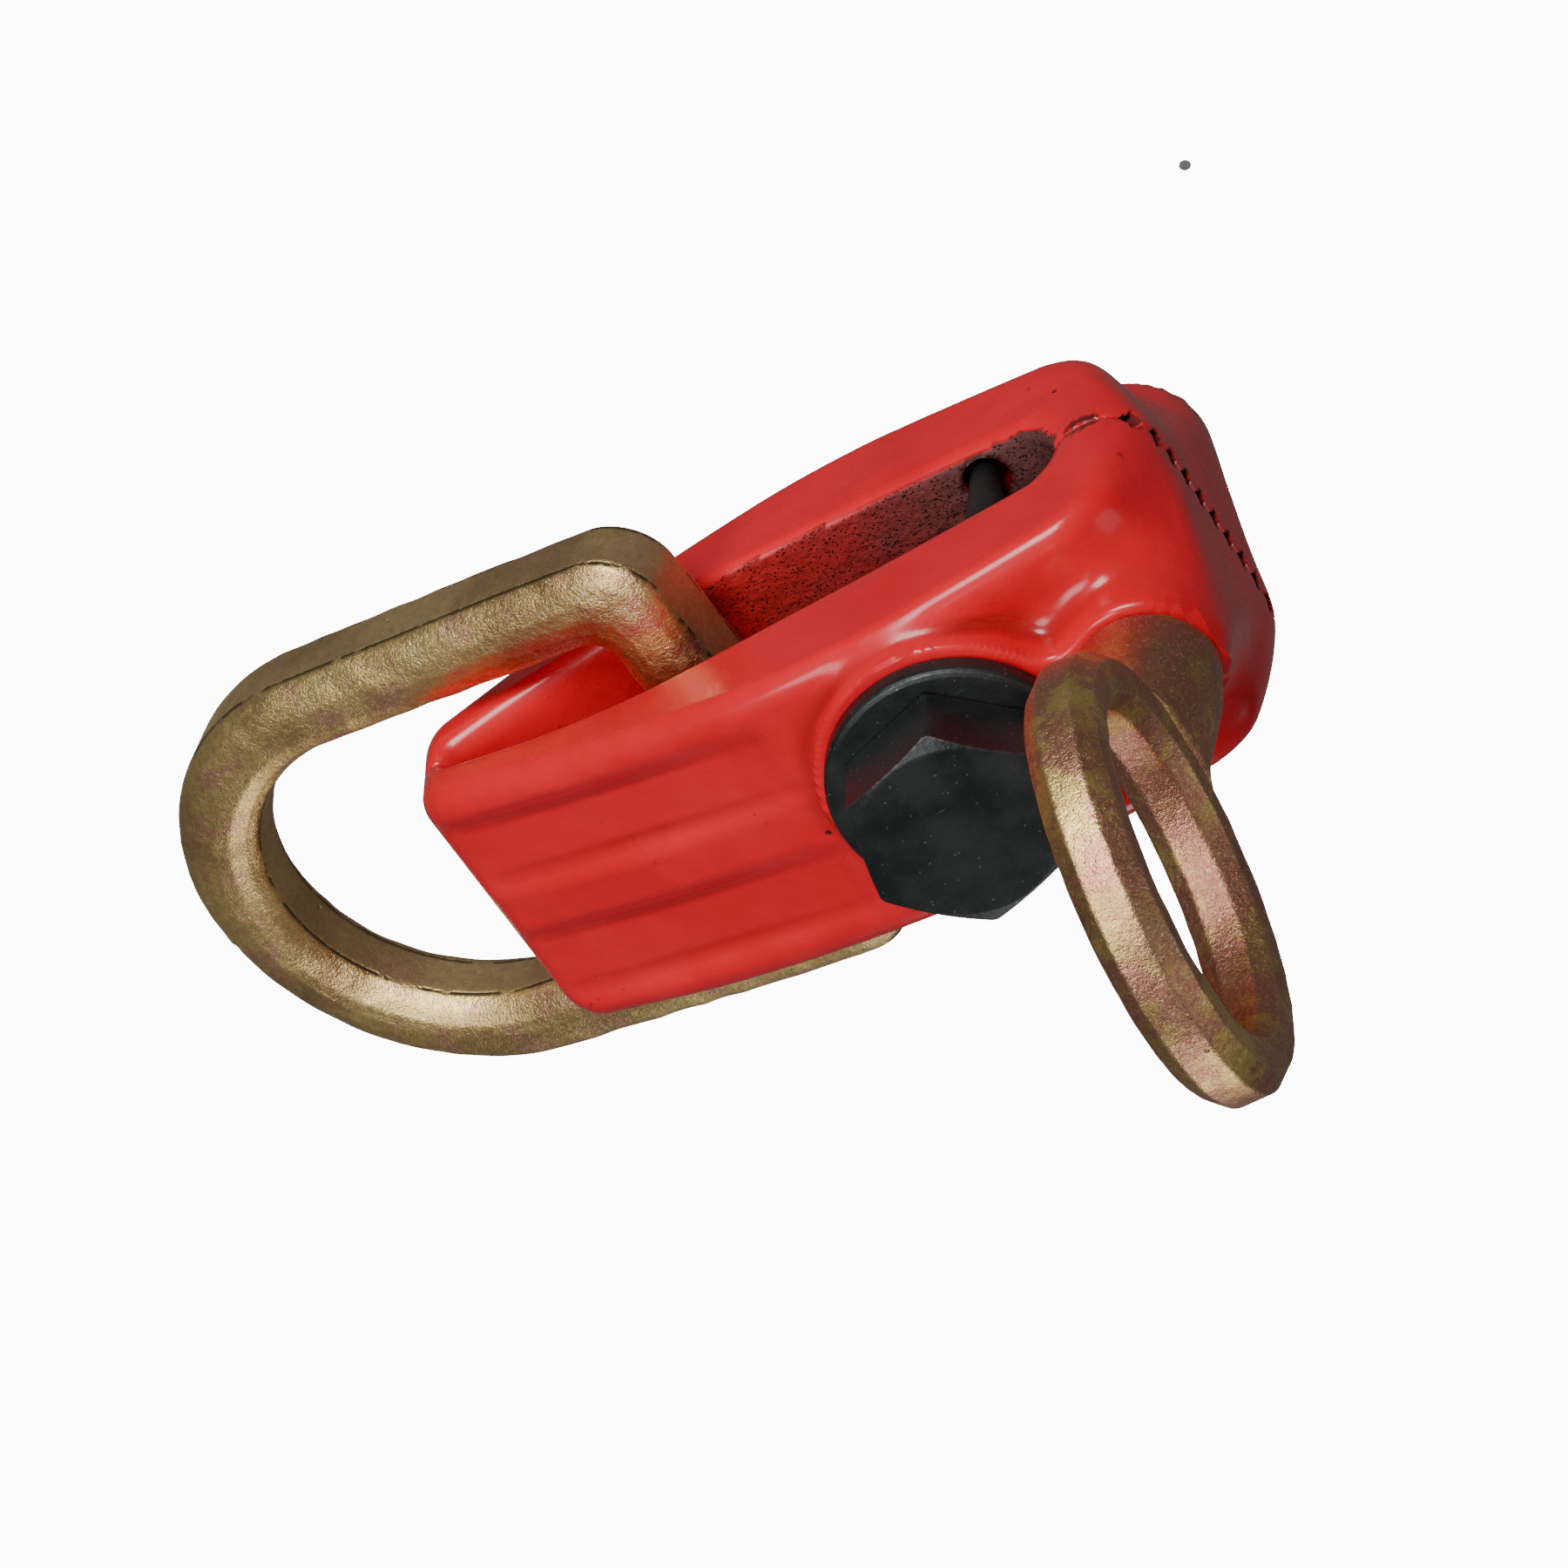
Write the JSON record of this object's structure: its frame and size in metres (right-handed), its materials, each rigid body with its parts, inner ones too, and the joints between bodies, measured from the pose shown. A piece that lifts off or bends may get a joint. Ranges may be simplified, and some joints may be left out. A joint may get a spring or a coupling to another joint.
{
  "type": "body repair pull clamp",
  "caption": "Toothed two-jaw pull clamp closed by a central hex bolt, with a D-ring in its wedge slot for straight pulls and an eye bolt for pulls at right angles.",
  "frame": {"origin": "middle of the bite line, where the teeth meet, on the jaws' parting plane", "axes": "+X out of the mouth towards the gripped sheet, +Z along the clamp bolt towards its head, Y across the jaws"},
  "size_m": [0.1824, 0.0861, 0.1565],
  "materials": {
    "jaw_paint": "gloss red enamel over a forged surface",
    "black_oxide": "black oxide, semi-matt, bright at worn edges",
    "spring_steel": "oiled dark spring steel",
    "yellow_zinc": "iridescent yellow zinc passivate over a grainy forged surface"
  },
  "bodies": {
    "lower_jaw": {"lower_jaw": "jaw_paint", "opening_spring": "spring_steel"},
    "upper_jaw": {"upper_jaw": "jaw_paint", "guide_pin_left": "black_oxide", "guide_pin_right": "black_oxide"},
    "clamp_bolt": {"clamp_bolt": "black_oxide", "head_washer": "black_oxide"},
    "eye_bolt": {"eye_bolt": "yellow_zinc"},
    "d_ring": {"d_ring": "yellow_zinc"}
  },
  "joints": [
    {"name": "jaw_open", "type": "hinge", "parent": "lower_jaw", "child": "upper_jaw", "pos_m": [-0.1278, 0, 0], "axis": [0, -1, 0], "range_deg": [0, 4.5], "deforming": ["opening_spring"]},
    {"name": "bolt_turn", "type": "hinge", "parent": "upper_jaw", "child": "clamp_bolt", "pos_m": [-0.0453, 0, 0.036], "axis": [0, 0, 1], "range_deg": [0, 932]},
    {"name": "eye_swivel", "type": "hinge", "parent": "upper_jaw", "child": "eye_bolt", "pos_m": [-0.0133, 0, 0.0317], "axis": [0, 0, 1], "continuous": true},
    {"name": "ring_swing", "type": "hinge", "parent": "lower_jaw", "child": "d_ring", "pos_m": [-0.0806, 0.0022, -0.0014], "axis": [-0.0418, 0.999, -0.0126], "range_deg": [-73.2, 100]}
  ],
  "couplings": [
    {"joint": "jaw_open", "follows": "bolt_turn", "ratio": 0.0048283}
  ]
}
